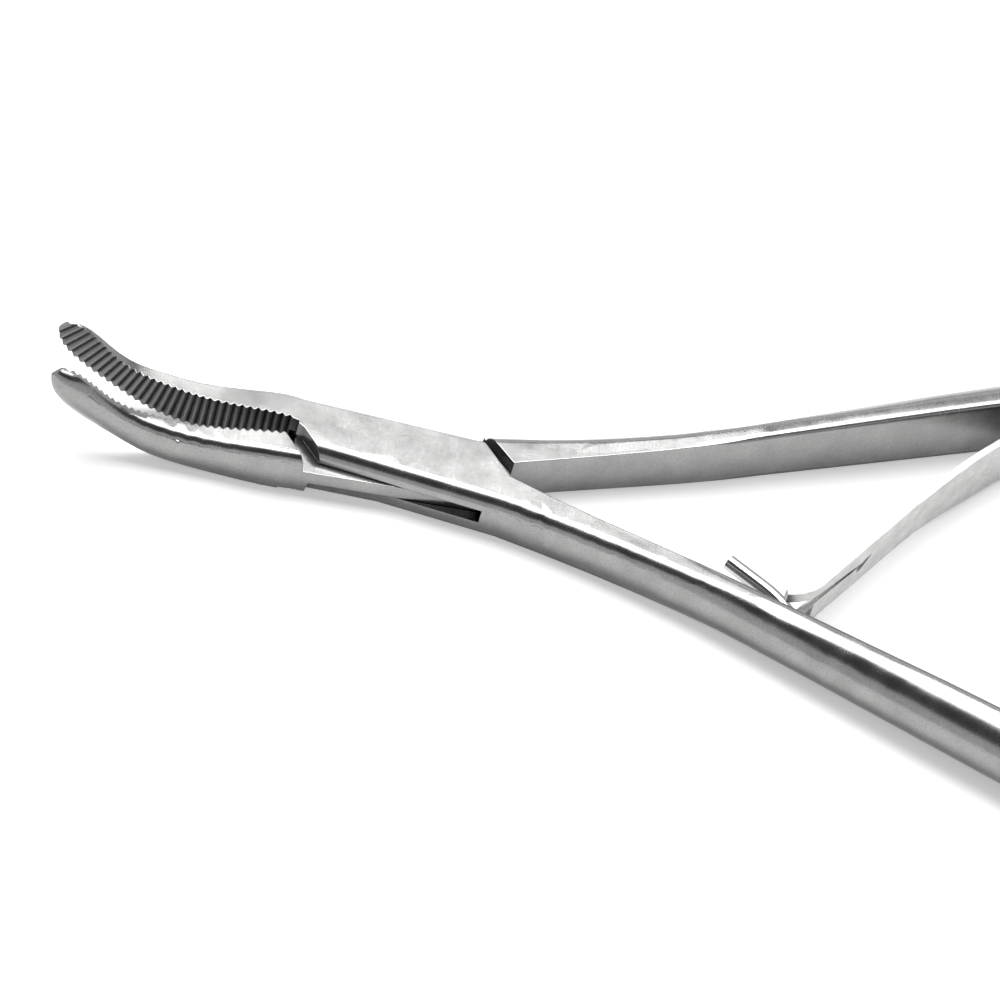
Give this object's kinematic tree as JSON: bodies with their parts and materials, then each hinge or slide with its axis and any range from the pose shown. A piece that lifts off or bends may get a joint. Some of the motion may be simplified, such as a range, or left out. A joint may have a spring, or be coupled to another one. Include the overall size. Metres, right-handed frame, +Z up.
{
  "type": "spring-handled needle holder",
  "caption": "Needle holder with a box lock, slender serrated jaws that curve upward, bowed handles, an inner leaf spring with a guide pin, and ratchet arms at the handle ends.",
  "frame": {"origin": "where the pivot axis meets the surface that the instrument lies on", "axes": "+X along the instrument from the pivot towards the handle ends, +Y towards the male handle, +Z up along the pivot axis"},
  "size_m": [0.1666, 0.0762, 0.0082],
  "materials": {
    "forged_steel": "satin, finely ground across the length",
    "polished_steel": "polished",
    "spring_steel": "matt, lightly scratched"
  },
  "bodies": {
    "female": {"female_half": "forged_steel", "pivot_pin": "forged_steel", "guide_pin": "polished_steel"},
    "male": {"male_half": "forged_steel", "leaf_spring": "spring_steel", "spring_screw": "polished_steel"}
  },
  "joints": [
    {"name": "box_lock", "type": "hinge", "parent": "female", "child": "male", "pos_m": [0, 0, 0.0021], "axis": [0, 0, 1], "range_deg": [-10.2, 12], "stiffness_Nm_per_rad": 1, "deforming": ["leaf_spring"]}
  ]
}
